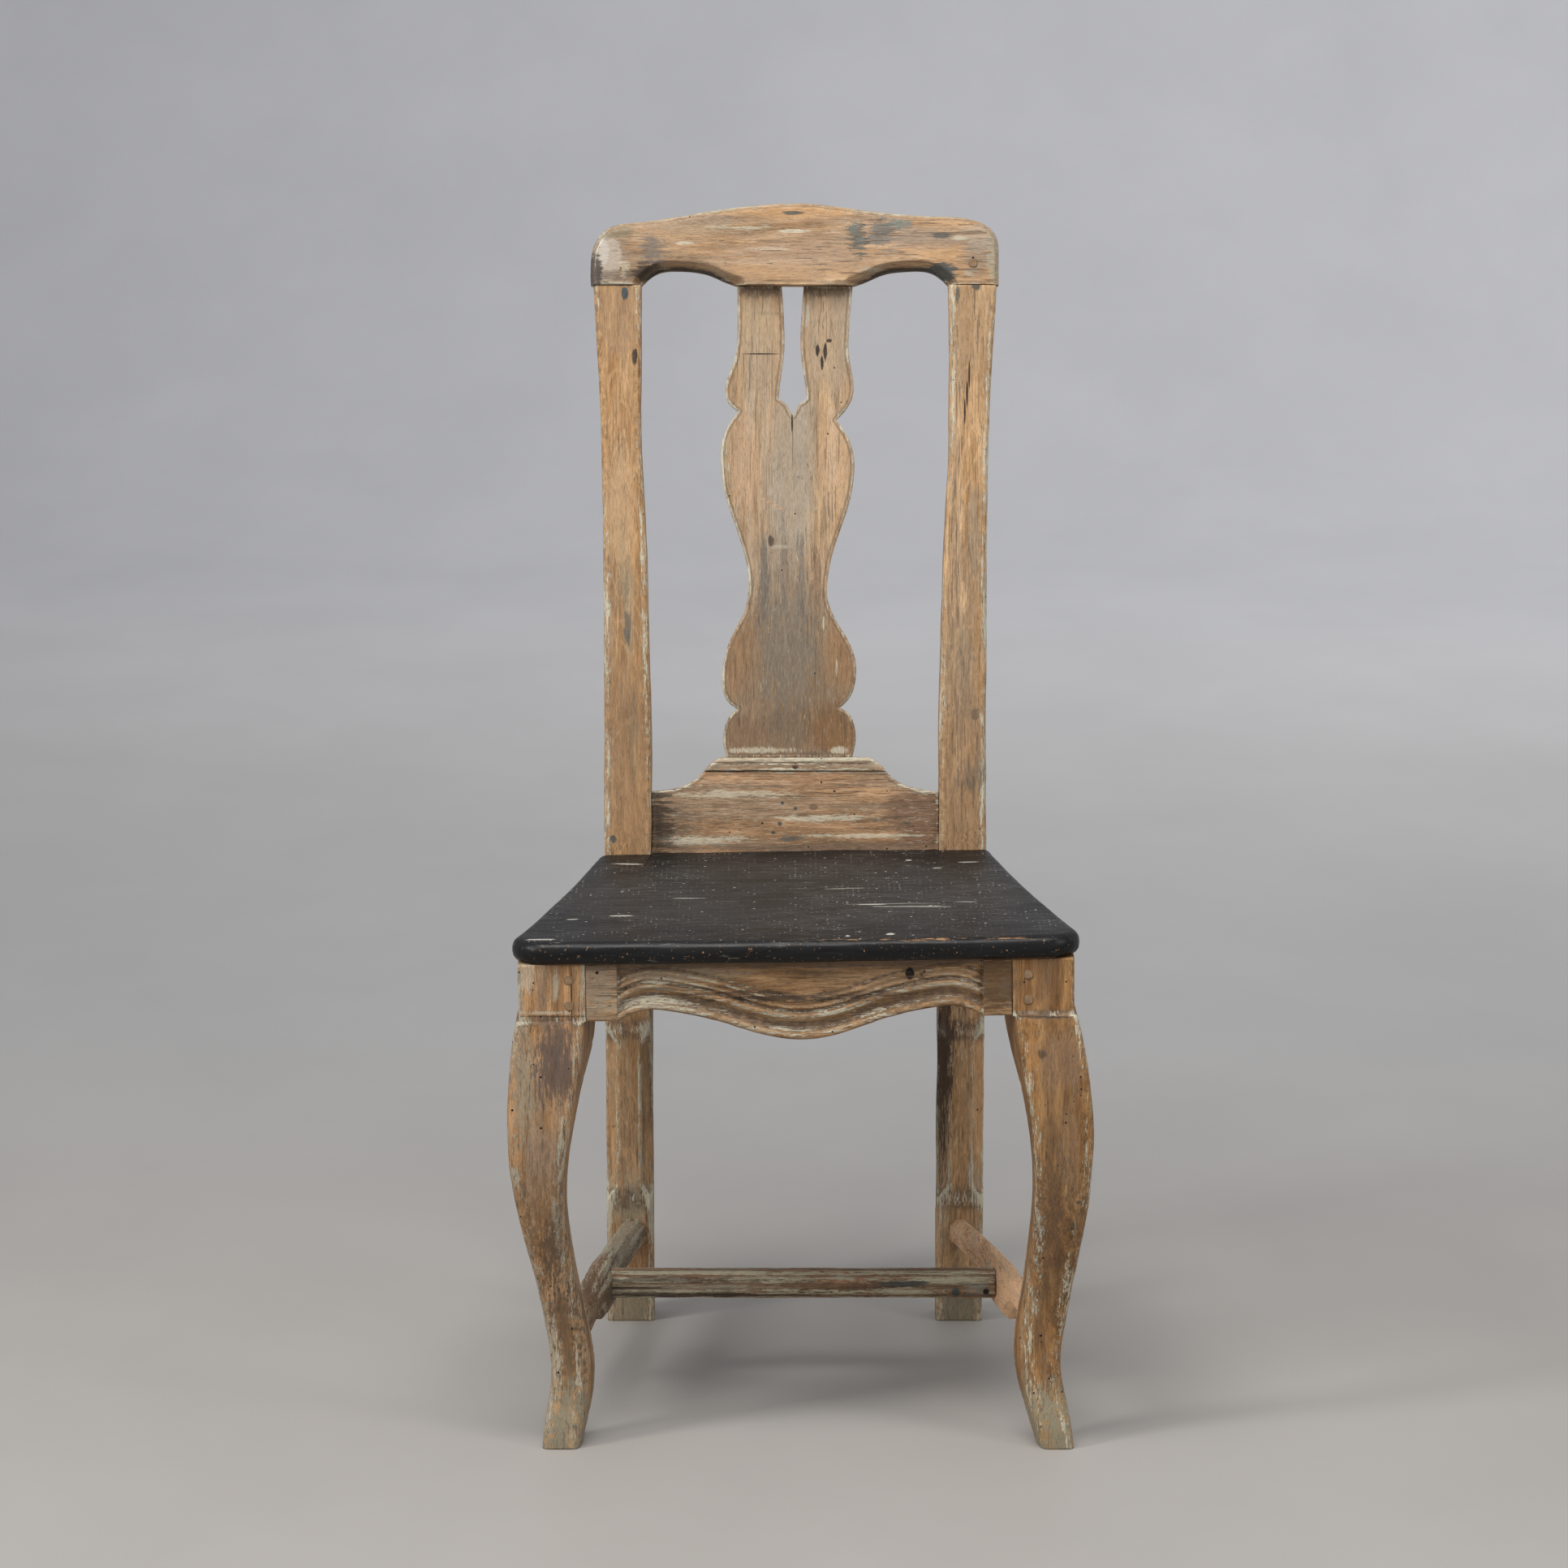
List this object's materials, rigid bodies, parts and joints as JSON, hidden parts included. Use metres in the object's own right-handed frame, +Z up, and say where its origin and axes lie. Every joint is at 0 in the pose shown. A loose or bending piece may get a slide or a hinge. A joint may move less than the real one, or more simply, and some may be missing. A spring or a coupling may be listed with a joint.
{
  "type": "side chair",
  "caption": "Armless rococo side chair with a plank seat, a waisted splat between leaning posts, a scalloped front rail and cabriole front legs, for one sitter.",
  "frame": {"origin": "on the floor under the middle of the chair, midway between its front and back", "axes": "+Z up, -Y towards the front, +X towards the right as seen from the front"},
  "size_m": [0.4971, 0.5221, 1.0344],
  "materials": {
    "post_wood": "dry scraped wood with paint remains",
    "leg_wood": "dry scraped wood, grey-green paint towards the foot",
    "crest_wood": "dry scraped wood, dark glossy left end",
    "splat_wood": "dry scraped wood with pale paint at the edges",
    "rail_wood": "dry scraped wood with cream paint in the grooves",
    "stretcher_wood": "dry scraped wood with olive-grey paint",
    "peg_wood": "dry end grain",
    "seat_paint": "worn satin black paint on wood",
    "nail_iron": "dark rusty iron"
  },
  "bodies": {
    "root": {"crest_rail": "crest_wood", "splat": "splat_wood", "back_rail": "rail_wood", "shoe_moulding": "rail_wood", "shoe_nail": "nail_iron", "seat_board": "seat_paint", "front_seat_rail": "rail_wood", "rear_seat_rail": "rail_wood", "side_seat_rail_left": "rail_wood", "side_seat_rail_right": "rail_wood", "front_leg_left": "leg_wood", "front_leg_right": "leg_wood", "stile_left": "post_wood", "stile_right": "post_wood", "side_stretcher_left": "stretcher_wood", "side_stretcher_right": "stretcher_wood", "cross_stretcher": "stretcher_wood", "crest_pegs": "peg_wood", "front_rail_pegs": "peg_wood", "side_rail_pegs": "peg_wood", "back_rail_pegs": "peg_wood", "stretcher_pegs": "peg_wood", "seat_dowels": "peg_wood"}
  },
  "joints": []
}
